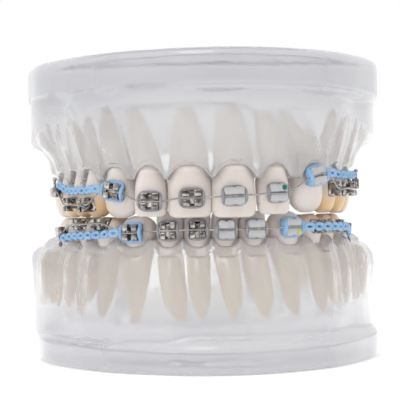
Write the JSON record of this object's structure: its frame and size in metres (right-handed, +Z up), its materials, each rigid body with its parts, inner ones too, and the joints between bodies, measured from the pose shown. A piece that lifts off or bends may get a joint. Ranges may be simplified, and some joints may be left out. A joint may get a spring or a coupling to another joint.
{
  "type": "typodont",
  "caption": "Clear resin orthodontic typodont: upper and lower arch with rooted ivory teeth, metal and ceramic brackets, archwires, ligatures and blue power chains.",
  "frame": {"origin": "centre of the bounding box's bottom face, with the pair closed and standing on the lower base", "axes": "+X towards the wearer's left (image right), the front teeth face -Y, +Z up from the lower base to the upper base"},
  "size_m": [0.0782, 0.06, 0.0645],
  "materials": {
    "clear_resin": "water-clear cast resin, polished, faint cool tint",
    "tooth_enamel": "ivory resin, satin gloss, warmer towards the root",
    "steel_bracket": "tumbled stainless, dark in the recesses",
    "ceramic_bracket": "translucent polycrystalline ceramic",
    "steel_wire": "drawn stainless wire",
    "grey_elastomer": "soft grey elastomer, slight sheen",
    "blue_elastomer": "translucent light blue elastomer",
    "green_dot": "painted dot",
    "lime_dot": "painted dot"
  },
  "bodies": {
    "lower_arch": {"lower_archwire": "steel_wire", "lower_base": "clear_resin", "lower_id_dot": "lime_dot", "lower_left_canine": "tooth_enamel", "lower_left_canine_bracket": "ceramic_bracket", "lower_left_central_incisor": "tooth_enamel", "lower_left_central_incisor_bracket": "ceramic_bracket", "lower_left_first_molar": "tooth_enamel", "lower_left_first_premolar": "tooth_enamel", "lower_left_lateral_incisor": "tooth_enamel", "lower_left_lateral_incisor_bracket": "ceramic_bracket", "lower_left_power_chain": "blue_elastomer", "lower_left_premolar_brackets": "steel_bracket", "lower_left_second_molar": "tooth_enamel", "lower_left_second_premolar": "tooth_enamel", "lower_ligature_rings": "grey_elastomer", "lower_molar_tubes": "steel_bracket", "lower_right_canine": "tooth_enamel", "lower_right_canine_bracket": "steel_bracket", "lower_right_central_incisor": "tooth_enamel", "lower_right_central_incisor_bracket": "steel_bracket", "lower_right_first_molar": "tooth_enamel", "lower_right_first_premolar": "tooth_enamel", "lower_right_lateral_incisor": "tooth_enamel", "lower_right_lateral_incisor_bracket": "steel_bracket", "lower_right_power_chain": "blue_elastomer", "lower_right_premolar_brackets": "steel_bracket", "lower_right_second_molar": "tooth_enamel", "lower_right_second_premolar": "tooth_enamel"},
    "upper_arch": {"upper_archwire": "steel_wire", "upper_base": "clear_resin", "upper_id_dot": "green_dot", "upper_left_canine": "tooth_enamel", "upper_left_canine_bracket": "ceramic_bracket", "upper_left_central_incisor": "tooth_enamel", "upper_left_central_incisor_bracket": "ceramic_bracket", "upper_left_first_molar": "tooth_enamel", "upper_left_first_premolar": "tooth_enamel", "upper_left_lateral_incisor": "tooth_enamel", "upper_left_lateral_incisor_bracket": "ceramic_bracket", "upper_left_power_chain": "blue_elastomer", "upper_left_premolar_brackets": "steel_bracket", "upper_left_second_molar": "tooth_enamel", "upper_left_second_premolar": "tooth_enamel", "upper_ligature_rings": "grey_elastomer", "upper_molar_tubes": "steel_bracket", "upper_right_canine": "tooth_enamel", "upper_right_canine_bracket": "steel_bracket", "upper_right_central_incisor": "tooth_enamel", "upper_right_central_incisor_bracket": "steel_bracket", "upper_right_first_molar": "tooth_enamel", "upper_right_first_premolar": "tooth_enamel", "upper_right_lateral_incisor": "tooth_enamel", "upper_right_lateral_incisor_bracket": "steel_bracket", "upper_right_power_chain": "blue_elastomer", "upper_right_premolar_brackets": "steel_bracket", "upper_right_second_molar": "tooth_enamel", "upper_right_second_premolar": "tooth_enamel"}
  },
  "joints": [
    {"name": "upper_arch_lift", "type": "slide", "parent": "lower_arch", "child": "upper_arch", "axis": [0, 0, 1], "range_m": [0, 0.045]}
  ]
}
